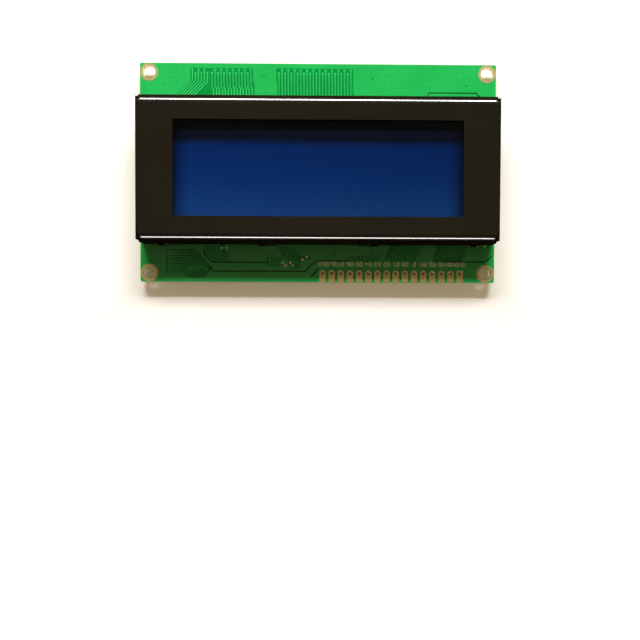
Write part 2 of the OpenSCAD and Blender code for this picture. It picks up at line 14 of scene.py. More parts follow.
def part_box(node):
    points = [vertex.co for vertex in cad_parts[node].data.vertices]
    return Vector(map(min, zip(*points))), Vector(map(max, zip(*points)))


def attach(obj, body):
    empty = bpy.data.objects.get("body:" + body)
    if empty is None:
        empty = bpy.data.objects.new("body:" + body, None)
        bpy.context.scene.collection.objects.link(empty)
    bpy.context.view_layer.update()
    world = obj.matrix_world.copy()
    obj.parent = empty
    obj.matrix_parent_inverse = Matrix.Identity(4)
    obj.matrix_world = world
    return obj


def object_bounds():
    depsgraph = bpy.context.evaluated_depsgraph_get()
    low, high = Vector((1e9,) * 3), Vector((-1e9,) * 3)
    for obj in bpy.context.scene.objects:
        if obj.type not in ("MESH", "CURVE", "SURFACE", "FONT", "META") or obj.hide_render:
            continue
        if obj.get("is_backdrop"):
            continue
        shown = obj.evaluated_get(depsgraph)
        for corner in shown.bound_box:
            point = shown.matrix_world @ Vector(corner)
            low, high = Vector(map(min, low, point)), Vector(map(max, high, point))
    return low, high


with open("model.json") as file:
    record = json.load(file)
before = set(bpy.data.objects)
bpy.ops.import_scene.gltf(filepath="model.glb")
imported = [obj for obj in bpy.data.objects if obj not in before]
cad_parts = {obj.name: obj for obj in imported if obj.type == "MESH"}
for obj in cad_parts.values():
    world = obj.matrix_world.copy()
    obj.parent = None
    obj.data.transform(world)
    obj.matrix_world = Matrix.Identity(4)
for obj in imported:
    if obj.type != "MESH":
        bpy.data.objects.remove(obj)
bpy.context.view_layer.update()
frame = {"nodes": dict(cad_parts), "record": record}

MM = 0.001
BOARD_LOW, BOARD_HIGH = (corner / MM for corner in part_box("circuit_board"))
BOARD_TOP = BOARD_HIGH.z
WINDOW_LOW, WINDOW_HALF = -12.8, 38.6
WINDOW_ROUND = 0.6
# Middle of the glossy band on the far and on the near fold, from the module's middle line
FOLD_CROWN = (17.9, 18.35)
BEZEL_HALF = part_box("bezel_frame")[1].x / MM
# Where traces run on out of sight, on either side of the middle line
UNDER_BEZEL = 18.5
# The header row: pitch, first pin and line of the pins
PIN_PITCH = 2.54
PIN_1 = -39.45
PIN_ROW = 27.55
# Step between the two rows of vias at the end of a bundle
VIA_STAGGER = 0.9
# Net of copper under the mask: pitch of its lines and their width
HATCH_PITCH, HATCH_LINE = 0.46, 0.22

# Thickness of what is printed or etched on the board, drawn thick enough to catch the light
COPPER = 0.035
CLEARING = 0.012
GAP = 0.018
INK = 0.03

# The camera: its place in millimetres, its small turns in degrees, outermost first, and its angle of view
EYE = (1.94, 33.69, 223.29)
EYE_TURNS = ((0.233, "Z"), (-0.677, "Y"), (-1.755, "X"))
EYE_ANGLE = 43.68

# Half the outline under which the paper has no added glow, and how that glow grows past it; the glow is
# painted light, warm, that lightens and warms the shadow beside the board and whitens the paper further off
BARE_HALF = (48.8, 29.8, 99)
GLOW_FROM, GLOW_TO = 6, 40
GLOW_LOW, GLOW_HIGH = 0.22, 0.7

# Each lamp: name, width, depth, place, power, colour, and whether it adds gloss and no other light
LAMPS = (
    ("key_lamp", 0.90, 0.20, (0, -0.95, 0.73), 22.2, (0.97, 0.99, 1.0), False),
    ("edge_lamp", 0.70, 0.22, (0, 0.96, 0.72), 6, (1.0, 0.99, 0.97), True),
    ("ceiling_lamp", 0.56, 0.10, (0, 0.01, 1.0), 0.075, (1.0, 0.84, 0.48), True),
)


# ---------------------------------------------------------------- camera, lights and floor

def camera():
    """Straight above the front, with the header row nearest to the reader and low in the frame."""
    lens = bpy.data.cameras.new("camera")
    lens.sensor_width = 36
    lens.angle = math.radians(EYE_ANGLE)
    lens.clip_end = 20
    eye = bpy.data.objects.new("camera", lens)
    turns = [Matrix.Rotation(math.radians(angle), 4, axis) for angle, axis in EYE_TURNS]
    tilt = turns[0] @ turns[1] @ turns[2]
    eye.matrix_world = Matrix.Translation(Vector(EYE) * MM) @ Matrix.Rotation(math.pi, 4, "Z") @ tilt
    bpy.context.scene.collection.objects.link(eye)
    bpy.context.scene.camera = eye


def lamp(name, width, depth, place, power, colour, gloss_only):
    """Rectangular soft lamp that faces the middle of the module."""
    light = bpy.data.lights.new(name, "AREA")
    light.shape = "RECTANGLE"
    light.size, light.size_y = width, depth
    light.energy = power
    light.color = colour
    holder = bpy.data.objects.new(name, light)
    holder.location = place
    holder.rotation_euler = Vector(place).to_track_quat("Z", "X").to_euler()
    holder.rotation_euler.rotate_axis("Z", math.pi / 2)
    holder.visible_diffuse = not gloss_only
    bpy.context.scene.collection.objects.link(holder)


def srgb(code):
    """Linear colour of an sRGB hex code."""
    parts = [int(code[i:i + 2], 16) / 255 for i in (0, 2, 4)]
    return [c / 12.92 if c <= 0.04045 else ((c + 0.055) / 1.055) ** 2.4 for c in parts] + [1]


def add(tree, kind, sockets=None, **settings):
    """Adds a node: its settings by attribute, its sockets by value or by the output that feeds them."""
    node = tree.nodes.new(kind)
    for name, value in settings.items():
        setattr(node, name, value)
    for name, value in (sockets or {}).items():
        if isinstance(value, bpy.types.Node):
            value = value.outputs[0]
        if isinstance(value, bpy.types.NodeSocket):
            tree.links.new(value, node.inputs[name])
        else:
            node.inputs[name].default_value = value
    return node


def new_material(name):
    made = bpy.data.materials.new(name)
    made.use_nodes = True
    made.node_tree.nodes.clear()
    return made, made.node_tree


def studio():
    """Warm room, pale low down and dim overhead and behind the header row, over matt white paper with a
    painted warm glow.
    """
    world = bpy.data.worlds.new("studio")
    bpy.context.scene.world = world
    world.use_nodes = True
    tree = world.node_tree
    tree.nodes.clear()
    direction = add(tree, "ShaderNodeTexCoord").outputs["Generated"]
    heading = add(tree, "ShaderNodeSeparateXYZ", {0: direction})
    sky = add(tree, "ShaderNodeValToRGB", {0: heading.outputs["Z"]})
    sky.color_ramp.elements[0].color = (0.80, 0.78, 0.75, 1)
    sky.color_ramp.elements[1].color = (0.060, 0.047, 0.031, 1)
    for height, colour in ((0.08, (0.70, 0.53, 0.32, 1)), (0.6, (0.28, 0.205, 0.12, 1))):
        sky.color_ramp.elements.new(height).color = colour
    dim = add(tree, "ShaderNodeMapRange", {
        "Value": heading.outputs["Y"], "From Min": -0.7, "From Max": 0.7, "To Min": 1.1, "To Max": 0.26})
    shade = add(tree, "ShaderNodeBackground", {"Color": sky, "Strength": dim})
    add(tree, "ShaderNodeOutputWorld", {"Surface": shade})

    paper, tree = new_material("matt_white_paper")
    ray = add(tree, "ShaderNodeLightPath")
    shown = add(tree, "ShaderNodeMath", {0: ray.outputs["Is Camera Ray"], 1: ray.outputs["Is Glossy Ray"]},
                operation="MAXIMUM")
    shown = add(tree, "ShaderNodeMath", {0: shown, 1: ray.outputs["Is Transmission Ray"]},
                operation="MAXIMUM")
    grain = add(tree, "ShaderNodeTexNoise", {"Scale": 700, "Detail": 3})
    tone = add(tree, "ShaderNodeValToRGB", {0: grain})
    tone.color_ramp.elements[0].color = srgb("F9F8F6")
    tone.color_ramp.elements[1].color = srgb("FEFEFC")
    # A warm glow is painted on the paper for the camera and for reflections: it whitens the paper far off,
    # and near the board it lightens and warms the object's shadow, as painted light. It is left off under
    # the board, so that its holes are darker
    half = add(tree, "ShaderNodeVectorMath", {0: where(tree)}, operation="ABSOLUTE")
    past = add(tree, "ShaderNodeVectorMath", {0: half, 1: BARE_HALF}, operation="SUBTRACT")
    past = add(tree, "ShaderNodeSeparateXYZ", {0: past})
    past = add(tree, "ShaderNodeMath", {0: past.outputs["X"], 1: past.outputs["Y"]}, operation="MAXIMUM")
    beside = add(tree, "ShaderNodeMath", {0: past, 1: 0.0}, operation="GREATER_THAN")
    glow = add(tree, "ShaderNodeMath", {0: shown, 1: beside}, operation="MULTIPLY")
    far = add(tree, "ShaderNodeMapRange", {
        "Value": past, "From Min": GLOW_FROM, "From Max": GLOW_TO, "To Min": GLOW_LOW, "To Max": GLOW_HIGH})
    glow = add(tree, "ShaderNodeMath", {0: glow, 1: far}, operation="MULTIPLY")
    surface = add(tree, "ShaderNodeBsdfPrincipled", {
        "Base Color": tone, "Roughness": 0.9, "Emission Color": (1, 0.76, 0.48, 1),
        "Emission Strength": glow})
    add(tree, "ShaderNodeOutputMaterial", {"Surface": surface})

    floor_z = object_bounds()[0].z - 0.02 * MM
    sheet = bpy.data.meshes.new("floor")
    sheet.from_pydata([(x, y, floor_z) for x, y in ((-3, -3), (3, -3), (3, 3), (-3, 3))], [],
                      [(0, 1, 2, 3)])
    sheet.materials.append(paper)
    floor = bpy.data.objects.new("floor", sheet)
    bpy.context.scene.collection.objects.link(floor)
    floor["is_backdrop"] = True

    for values in LAMPS:
        lamp(*values)


# ---------------------------------------------------------------- materials

def where(tree):
    """Place on the object, in millimetres."""
    place = add(tree, "ShaderNodeTexCoord").outputs["Object"]
    return add(tree, "ShaderNodeVectorMath", {0: place, 1: (1000, 1000, 1000)}, operation="MULTIPLY")


def finish(name, low, high, grain, rough=0.5, metal=0.0, bump=0.0, stretch=(1, 1, 1), **more):
    """Surface whose colour runs between two tones, with a relief of the same grain; grain in mm."""
    made, tree = new_material(name)
    place = add(tree, "ShaderNodeVectorMath", {0: where(tree), 1: stretch}, operation="MULTIPLY")
    noise = add(tree, "ShaderNodeTexNoise", {"Vector": place, "Scale": 1 / grain, "Detail": 4,
                                             "Roughness": 0.6})
    tone = add(tree, "ShaderNodeValToRGB", {0: noise})
    tone.color_ramp.elements[0].position, tone.color_ramp.elements[0].color = 0.3, srgb(low)
    tone.color_ramp.elements[1].position, tone.color_ramp.elements[1].color = 0.7, srgb(high)
    sockets = {"Base Color": tone, "Metallic": metal, **more}
    gloss = add(tree, "ShaderNodeMapRange", {
        "Value": noise, "From Min": 0.3, "From Max": 0.7, "To Min": rough * 0.85,
        "To Max": min(1, rough * 1.15)})
    sockets["Roughness"] = gloss
    if bump:
        sockets["Normal"] = add(tree, "ShaderNodeBump",
                                {"Height": noise, "Strength": bump, "Distance": 0.00005})
    surface = add(tree, "ShaderNodeBsdfPrincipled", sockets)
    add(tree, "ShaderNodeOutputMaterial", {"Surface": surface})
    return made


def hatch(tree, place, pitch, line):
    """1 on the lines of a net at 45 degrees and 0 in its holes."""
    turned = add(tree, "ShaderNodeMapping", {"Vector": place, "Rotation": (0, 0, math.radians(45)),
                                             "Scale": (1 / pitch, 1 / pitch, 1)})
    cell = add(tree, "ShaderNodeVectorMath", {0: turned}, operation="FRACTION")
    off = add(tree, "ShaderNodeVectorMath", {0: cell, 1: (0.5, 0.5, 0.5)}, operation="SUBTRACT")
    away = add(tree, "ShaderNodeSeparateXYZ", {0: add(tree, "ShaderNodeVectorMath", {0: off},
                                                      operation="ABSOLUTE")})
    nearest = add(tree, "ShaderNodeMath", {0: away.outputs["X"], 1: away.outputs["Y"]}, operation="MAXIMUM")
    edge = 0.5 - line / pitch / 2
    return add(tree, "ShaderNodeMapRange", {"Value": nearest, "From Min": edge - 0.06,
                                            "From Max": edge + 0.06})


def solder_mask():
    """Green solder mask, screen printed and cured over a hatched copper plane on FR-4.

    The net of copper shows as a pale weave under a wet gloss, and the cut edges show the glass laminate.
    """
    made, tree = new_material("solder_mask_over_hatched_copper")
    place = where(tree)
    net = hatch(tree, place, HATCH_PITCH, HATCH_LINE)
    cloud = add(tree, "ShaderNodeTexNoise", {"Vector": place, "Scale": 0.06, "Detail": 2})
    lines = add(tree, "ShaderNodeValToRGB", {0: cloud})
    lines.color_ramp.elements[0].position, lines.color_ramp.elements[0].color = 0.35, srgb("2ACE60")
    lines.color_ramp.elements[1].position, lines.color_ramp.elements[1].color = 0.65, srgb("30D86A")
    holes = add(tree, "ShaderNodeValToRGB", {0: cloud})
    holes.color_ramp.elements[0].position, holes.color_ramp.elements[0].color = 0.35, srgb("088433")
    holes.color_ramp.elements[1].position, holes.color_ramp.elements[1].color = 0.65, srgb("0C903B")
    mask = add(tree, "ShaderNodeMix", data_type="RGBA")
    for socket, value in ((0, net), (6, holes), (7, lines)):
        tree.links.new(value.outputs[0], mask.inputs[socket])
    # The cut edge: woven glass in resin, a pale yellow green
    glass = add(tree, "ShaderNodeTexNoise", {"Vector": place, "Scale": 3, "Detail": 5})
    edge = add(tree, "ShaderNodeValToRGB", {0: glass})
    edge.color_ramp.elements[0].position, edge.color_ramp.elements[0].color = 0.35, srgb("3C8A45")
    edge.color_ramp.elements[1].position, edge.color_ramp.elements[1].color = 0.65, srgb("6FA562")
    up = add(tree, "ShaderNodeSeparateXYZ", {0: add(tree, "ShaderNodeNewGeometry").outputs["Normal"]})
    flat = add(tree, "ShaderNodeMath", {0: up.outputs["Z"]}, operation="ABSOLUTE")
    face = add(tree, "ShaderNodeMath", {0: flat, 1: 0.5}, operation="GREATER_THAN")
    colour = add(tree, "ShaderNodeMix", data_type="RGBA")
    for socket, value in ((0, face.outputs[0]), (6, edge.outputs[0]), (7, mask.outputs[2])):
        tree.links.new(value, colour.inputs[socket])
    relief = add(tree, "ShaderNodeBump", {"Height": net, "Strength": 0.10, "Distance": 0.00003})
    wave = add(tree, "ShaderNodeTexNoise", {"Vector": place, "Scale": 0.5, "Detail": 2})
    relief = add(tree, "ShaderNodeBump", {"Height": wave, "Strength": 0.08, "Distance": 0.0002,
                                          "Normal": relief})
    gloss = add(tree, "ShaderNodeMapRange", {"Value": face, "To Min": 0.7, "To Max": 0.16})
    surface = add(tree, "ShaderNodeBsdfPrincipled", {
        "Base Color": colour.outputs[2], "Roughness": gloss, "IOR": 1.52, "Normal": relief})
    add(tree, "ShaderNodeOutputMaterial", {"Surface": surface})
    return made


def black_steel():
    """Cold-rolled steel sheet in satin black paint, stamped and folded.

    The paint has a fine orange peel and a brown cast. A narrow band of gloss is drawn along each long
    fold and gives the white line there; its place is chosen for looks and doesn't follow from the shape.
    """
    made, tree = new_material("satin_black_paint_on_steel")
    place = where(tree)
    peel = add(tree, "ShaderNodeTexNoise", {"Vector": place, "Scale": 2.2, "Detail": 3})
    cloud = add(tree, "ShaderNodeTexNoise", {"Vector": place, "Scale": 0.05, "Detail": 2})
    paint = add(tree, "ShaderNodeValToRGB", {0: cloud})
    paint.color_ramp.elements[0].position, paint.color_ramp.elements[0].color = 0.35, srgb("1A160E")
    paint.color_ramp.elements[1].position, paint.color_ramp.elements[1].color = 0.65, srgb("1E1A11")
    # Specks of dust, up to 0.15 mm across, in one or two cells of a hundred
    dust = add(tree, "ShaderNodeTexVoronoi", {"Vector": place, "Scale": 0.37})
    speck = add(tree, "ShaderNodeMath", {0: dust.outputs["Distance"], 1: 0.028}, operation="LESS_THAN")
    pick = add(tree, "ShaderNodeSeparateColor", {0: dust.outputs["Color"]})
    rare = add(tree, "ShaderNodeMath", {0: pick.outputs[0], 1: 0.3}, operation="LESS_THAN")
    mote = add(tree, "ShaderNodeMath", {0: speck, 1: rare}, operation="MULTIPLY")
    colour = add(tree, "ShaderNodeMix", data_type="RGBA")
    colour.inputs[7].default_value = srgb("8E8A80")
    tree.links.new(mote.outputs[0], colour.inputs[0])
    tree.links.new(paint.outputs[0], colour.inputs[6])
    # The drawn band of gloss stops short of the fold's ends; the top has a satin sheen, and the
    # walls below are drawn dull
    reach = add(tree, "ShaderNodeVectorMath", {0: place}, operation="ABSOLUTE")
    reach = add(tree, "ShaderNodeSeparateXYZ", {0: reach})
    side = add(tree, "ShaderNodeSeparateXYZ", {0: place})
    line = add(tree, "ShaderNodeMapRange", {
        "Value": side.outputs["Y"], "From Min": -1, "To Min": FOLD_CROWN[0], "To Max": FOLD_CROWN[1]})
    off_crown = add(tree, "ShaderNodeMath", {0: reach.outputs["Y"], 1: line}, operation="SUBTRACT")
    off_crown = add(tree, "ShaderNodeMath", {0: off_crown}, operation="ABSOLUTE")
    crown = add(tree, "ShaderNodeMapRange", {
        "Value": off_crown, "From Min": 0.3, "From Max": 0.55, "To Min": 1.0, "To Max": 0.0})
    ends = add(tree, "ShaderNodeMapRange", {
        "Value": reach.outputs["X"], "From Min": BEZEL_HALF - 1.8, "From Max": BEZEL_HALF - 1.2,
        "To Min": 1.0, "To Max": 0.0})
    polish = add(tree, "ShaderNodeMath", {0: crown, 1: ends}, operation="MULTIPLY")
    up = add(tree, "ShaderNodeSeparateXYZ", {0: add(tree, "ShaderNodeNewGeometry").outputs["Normal"]})
    satin = add(tree, "ShaderNodeMapRange", {
        "Value": up.outputs["Z"], "From Min": 0.95, "From Max": 0.995, "To Min": 0.0, "To Max": 0.35})
    coat = add(tree, "ShaderNodeMath", {0: satin, 1: polish}, operation="MAXIMUM")
    gloss = add(tree, "ShaderNodeMapRange", {"Value": polish, "To Min": 0.2, "To Max": 0.07})
    gloss = add(tree, "ShaderNodeMath", {0: peel, 1: 0.06, 2: gloss}, operation="MULTIPLY_ADD")
    surface = add(tree, "ShaderNodeBsdfPrincipled", {
        "Base Color": colour.outputs[2], "Roughness": 0.8, "Specular IOR Level": 0.0,
        "Coat Weight": coat, "Coat Roughness": gloss, "Coat IOR": 2.0})
    add(tree, "ShaderNodeOutputMaterial", {"Surface": surface})
    return made


def see_through(name, tint, gloss_rough, shine, haze=0.0):
    """Clear sheet: tinted for what passes, glossy for what its outer face sends back."""
    made, tree = new_material(name)
    place = where(tree)
    dust = add(tree, "ShaderNodeTexNoise", {"Vector": place, "Scale": 1.5, "Detail": 5})
    clear = add(tree, "ShaderNodeBsdfTransparent", {"Color": srgb(tint)})
    veil = add(tree, "ShaderNodeBsdfDiffuse", {"Color": srgb("8794A8")})
    amount = add(tree, "ShaderNodeMapRange", {
        "Value": dust, "From Min": 0.35, "From Max": 0.75, "To Min": haze * 0.5, "To Max": haze * 1.5})
    body = add(tree, "ShaderNodeMixShader", {0: amount, 1: clear, 2: veil})
    rough = add(tree, "ShaderNodeMapRange", {"Value": dust, "To Min": gloss_rough,
                                             "To Max": gloss_rough * 1.6})
    face = add(tree, "ShaderNodeBsdfGlossy", {"Color": (1, 1, 1, 1), "Roughness": rough})
    # The inner side of each face is bonded to the next layer, and sends nothing back
    behind = add(tree, "ShaderNodeNewGeometry").outputs["Backfacing"]
    outer = add(tree, "ShaderNodeMapRange", {"Value": behind, "To Min": shine, "To Max": 0.0})
    part = add(tree, "ShaderNodeMath", {0: add(tree, "ShaderNodeFresnel", {"IOR": 1.45}), 1: outer},
               operation="MULTIPLY")
    surface = add(tree, "ShaderNodeMixShader", {0: part, 1: body, 2: face})
    add(tree, "ShaderNodeOutputMaterial", {"Surface": surface})
    return made


def blue_cell():
    """Super-twisted nematic cell that is switched off, over its unlit lamp.

    Deep blue with no characters shown. The shading is painted: nearly black along the far edge of the
    window, and a stronger blue towards the reader. It doesn't come from the light.
    """
    made, tree = new_material("blue_negative_liquid_crystal")
    place = where(tree)
    along = add(tree, "ShaderNodeSeparateXYZ", {0: place})
    wave = add(tree, "ShaderNodeTexNoise", {"Vector": place, "Scale": 0.05, "Detail": 1})
    sway = add(tree, "ShaderNodeMapRange", {"Value": wave, "To Min": -0.5, "To Max": 0.5})
    height = add(tree, "ShaderNodeMath", {0: along.outputs["Y"], 1: sway}, operation="ADD")
    run = add(tree, "ShaderNodeMapRange", {"Value": height, "From Min": WINDOW_LOW,
                                           "From Max": -WINDOW_LOW})
    blue = add(tree, "ShaderNodeValToRGB", {0: run})
    ramp = blue.color_ramp
    ramp.elements[0].position, ramp.elements[0].color = 0.0, srgb("182036")
    ramp.elements[1].position, ramp.elements[1].color = 1.0, srgb("2A62AC")
    for position, code in ((0.19, "151D30"), (0.27, "0A3F8A"), (0.6, "0B4A99")):
        ramp.elements.new(position).color = srgb(code)
    # Painted too: the two short sides fade to the same near black, and one end is a little brighter
    side = add(tree, "ShaderNodeMath", {0: along.outputs["X"]}, operation="ABSOLUTE")
    inside = add(tree, "ShaderNodeMapRange", {
        "Value": side, "From Min": WINDOW_HALF - 4, "From Max": WINDOW_HALF, "To Min": 1.0, "To Max": 0.35})
    tilt = add(tree, "ShaderNodeMapRange", {
        "Value": along.outputs["X"], "From Min": -WINDOW_HALF, "From Max": WINDOW_HALF, "To Min": 0.84,
        "To Max": 1.07})
    inside = add(tree, "ShaderNodeMath", {0: inside, 1: tilt}, operation="MULTIPLY")
    blue = add(tree, "ShaderNodeVectorMath", {0: blue, "Scale": inside}, operation="SCALE")
    surface = add(tree, "ShaderNodeBsdfPrincipled",
                  {"Base Color": blue, "Roughness": 0.5, "Specular IOR Level": 0.0})
    add(tree, "ShaderNodeOutputMaterial", {"Surface": surface})
    return made


MATERIALS = {
    "solder_mask": solder_mask(),
    "bezel_black": black_steel(),
    # Anti-glare polarizing film: a little blue, and gives the window its even, satin face
    "front_film": see_through("anti_glare_polarizing_film", "E6EAF2", 0.08, 1.0, 0.002),
    # Soda-lime glass, polished, under the film
    "clear_glass": see_through("polished_soda_lime_glass", "F2F7F5", 0.03, 0.15),
    "blue_cell": blue_cell(),
    # Epoxy seal of the cell, printed: a dull blue-grey line round the glass
    "cell_sealant": finish("printed_epoxy_seal", "5B6672", "77828C", 0.4, 0.6),
    # Rear polarizing film
    "rear_film": finish("rear_polarizing_film", "1A2233", "212B40", 2.0, 0.35),
    # Silicone with carbon layers: matt, dark and soft
    "elastomer": finish("layered_silicone_rubber", "2C2C30", "47474C", 0.15, 0.85, bump=0.3,
                        stretch=(4, 1, 1)),
    # Matt polyester film that spreads the lamp's light
    "diffuser_white": finish("matt_polyester_film", "E2E6EA", "F0F2F4", 0.3, 0.75, bump=0.1),
    # Moulded acrylic with printed dots under it
    "clear_acrylic": finish("moulded_acrylic", "C9D6DE", "DCE6EC", 1.2, 0.12, IOR=1.49),
    # White reflector film
    "reflector_white": finish("white_reflector_film", "EEF0F0", "F8F8F6", 0.8, 0.5),
    # Polycarbonate filled with white pigment, moulded
    "frame_white": finish("white_moulded_polycarbonate", "D8DAD6", "E6E7E3", 0.25, 0.5, bump=0.15),
    # White mask on the lamps' strip board
    "strip_board": finish("white_solder_mask", "E4E2DA", "EFEDE6", 0.5, 0.4),
    # Lamp body in white thermoplastic
    "lamp_body": finish("white_lamp_plastic", "E9E6DC", "F4F2EA", 0.2, 0.45),
    # Tinned lead wire and chip ends: bright, slightly dull grey with drawn streaks
    "tinned_lead": finish("tinned_copper", "C4C5C6", "E2E2E1", 0.12, 0.34, metal=0.6, bump=0.25),
    # Solder, reflowed and a little frosted: soft bright patches
    "solder": finish("reflowed_solder", "B2B2B1", "DADAD8", 0.35, 0.28, metal=0.7, bump=0.35),
    # Electroless nickel and immersion gold: warm, satin and slightly mottled
    "gold_plate": finish("immersion_gold", "F0D28A", "FFE9AE", 0.45, 0.24, metal=0.5, bump=0.12),
    # Pin names, taken to be etched in the copper and plated: a pale gold, lighter than the pads
    "gold_lettering": finish("plated_lettering", "FFF0C4", "FFF8E0", 0.3, 0.2, metal=0.55),
    # Copper left bare where the tabs are turned, under flux: warm and a little stained
    "bare_copper": finish("fluxed_bare_copper", "C4763F", "E6A46A", 0.5, 0.42, metal=0.45, bump=0.3),
    # Black epoxy, dispensed over the chips and cured: satin, with a slow ripple
    "black_epoxy": finish("dispensed_black_epoxy", "0B0909", "151213", 0.5, 0.3, bump=0.2, IOR=1.5),
    "silicon": finish("bare_silicon", "4A4E57", "5C616C", 0.8, 0.2, metal=0.6),
    # Alumina under a black glass coat, with the mark left off
    "chip_ceramic": finish("black_glazed_resistor", "17181B", "222327", 0.2, 0.25, **{"Coat Weight": 0.4}),
    # The same mask over a solid copper trace: paler than over bare laminate
    "mask_on_trace": finish("solder_mask_over_trace", "26C862", "30D56C", 2.0, 0.2, IOR=1.52),
    # The same mask where the copper is etched away: deeper and darker
    "mask_on_laminate": finish("solder_mask_over_laminate", "07953D", "0BA045", 3.0, 0.18, IOR=1.38),
    # On the rear the same areas are drawn brighter, like the net beside them; the cause isn't known
    "mask_on_rear_laminate": finish("solder_mask_over_rear_laminate", "0DA948", "13B650", 3.0, 0.18,
                                    IOR=1.38),
    # Mask over the front's gaps in the copper and over its dark dots: drawn darker than the same mask over
    # etched areas and over the rear's gaps; the extra dark is painted shade, as in a groove
    "mask_dark": finish("solder_mask_gap", "034A1B", "055A23", 1.0, 0.3, IOR=1.3),
    # White epoxy ink through a screen: flat and a little uneven
    "legend_ink": finish("white_legend_ink", "F2F0E6", "FCFAF2", 0.12, 0.6, bump=0.2),
}


def dress(node, name):
    """Gives a node of the model its finish."""
    slots = frame["nodes"][node].data.materials
    slots.clear()
    slots.append(MATERIALS[name])


def dress_model():
    """Each node takes the finish of its slot, but for the glass that carries the liquid crystal."""
    for part in frame["record"]["subparts"]:
        dress(part["node"], part["material_slot"])
    dress("rear_glass", "blue_cell")


# ---------------------------------------------------------------- trees that repeat and follow

def tree_with(name, **inputs):
    """Geometry Nodes tree with named inputs; returns it, its input node and its inputs' identifiers."""
    tree = bpy.data.node_groups.new(name, "GeometryNodeTree")
    tree.interface.new_socket(name="Geometry", in_out="INPUT", socket_type="NodeSocketGeometry")
    ids = {label: tree.interface.new_socket(name=label, in_out="INPUT",
                                            socket_type="NodeSocket" + kind).identifier
           for label, kind in inputs.items()}
    tree.interface.new_socket(name="Geometry", in_out="OUTPUT", socket_type="NodeSocketGeometry")
    return tree, add(tree, "NodeGroupInput"), ids


def end_tree(tree, shape, given):
    """Ends a tree in Realize Instances and Set Material."""
    real = add(tree, "GeometryNodeRealizeInstances", {0: shape})
    dressed = add(tree, "GeometryNodeSetMaterial", {"Geometry": real, "Material": given.outputs["Finish"]})
    add(tree, "NodeGroupOutput", {0: dressed})


def strip_tree():
    """Flat strip of one width and thickness along every chain of edges: a trace or a stroke of ink."""
    tree, given, ids = tree_with("strip_along_path", Width="Float", Thickness="Float", Rounded="Bool",
                                 Finish="Material")
    path = add(tree, "GeometryNodeMeshToCurve", {0: given.outputs["Geometry"]})
    level = add(tree, "GeometryNodeSetCurveNormal", {0: path}, mode="Z_UP")
    section = add(tree, "GeometryNodeCurvePrimitiveQuadrilateral", {
        "Width": given.outputs["Width"], "Height": given.outputs["Thickness"]})
    strip = add(tree, "GeometryNodeCurveToMesh",
                {"Curve": level, "Profile Curve": section, "Fill Caps": True})
    strip = add(tree, "GeometryNodeSetShadeSmooth", {0: strip, "Shade Smooth": given.outputs["Rounded"]})
    end_tree(tree, strip, given)
    return tree, ids


def disc_tree():
    """Low disc at every point: a via, a pad or a dot of ink."""
    tree, given, ids = tree_with("disc_on_points", Radius="Float", Thickness="Float", Finish="Material")
    disc = add(tree, "GeometryNodeMeshCylinder", {
        "Vertices": 14, "Radius": given.outputs["Radius"], "Depth": given.outputs["Thickness"]})
    spread = add(tree, "GeometryNodeInstanceOnPoints",
                 {"Points": given.outputs["Geometry"], "Instance": disc})
    end_tree(tree, spread, given)
    return tree, ids


def rod_tree():
    """Thin round rod along every chain of edges."""
    tree, given, ids = tree_with("rod_along_path", Radius="Float", Finish="Material")
    path = add(tree, "GeometryNodeMeshToCurve", {0: given.outputs["Geometry"]})
    section = add(tree, "GeometryNodeCurvePrimitiveCircle",
                  {"Resolution": 16, "Radius": given.outputs["Radius"]})
    end_tree(tree, add(tree, "GeometryNodeCurveToMesh", {"Curve": path, "Profile Curve": section}), given)
    return tree, ids


def sleeve_tree():
    """Upright round sleeve at every point; its radius is that of the middle of its wall."""
    tree, given, ids = tree_with("sleeve_on_points", Radius="Float", Wall="Float", Depth="Float",
                                 Finish="Material")
    ring = add(tree, "GeometryNodeCurvePrimitiveCircle",
               {"Resolution": 24, "Radius": given.outputs["Radius"]})
    level = add(tree, "GeometryNodeSetCurveNormal", {0: ring}, mode="Z_UP")
    section = add(tree, "GeometryNodeCurvePrimitiveQuadrilateral", {
        "Width": given.outputs["Wall"], "Height": given.outputs["Depth"]})
    sleeve = add(tree, "GeometryNodeCurveToMesh", {"Curve": level, "Profile Curve": section})
    end_tree(tree, add(tree, "GeometryNodeInstanceOnPoints", {
        "Points": given.outputs["Geometry"], "Instance": sleeve}), given)
    return tree, ids


STRIP, DISC, ROD, SLEEVE = strip_tree(), disc_tree(), rod_tree(), sleeve_tree()


def grow(name, kind, points, edges, finish_name, slot, **sizes):
    """Runs a tree on points and edges given in millimetres, and keeps the result as a plain mesh."""
    tree, ids = kind
    seed = bpy.data.meshes.new(name)
    seed.from_pydata([Vector(point) * MM for point in points], edges, [])
    piece = bpy.data.objects.new(name, seed)
    bpy.context.scene.collection.objects.link(piece)
    grower = piece.modifiers.new("grow", "NODES")
    grower.node_group = tree
    for label, size in sizes.items():
        grower[ids[label]] = size if isinstance(size, bool) else size * MM
    grower[ids["Finish"]] = MATERIALS[finish_name]
    grown = bpy.data.meshes.new_from_object(piece.evaluated_get(bpy.context.evaluated_depsgraph_get()))
    piece.modifiers.remove(grower)
    piece.data = grown
    grown.name = name
    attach(piece, "root")
    return piece


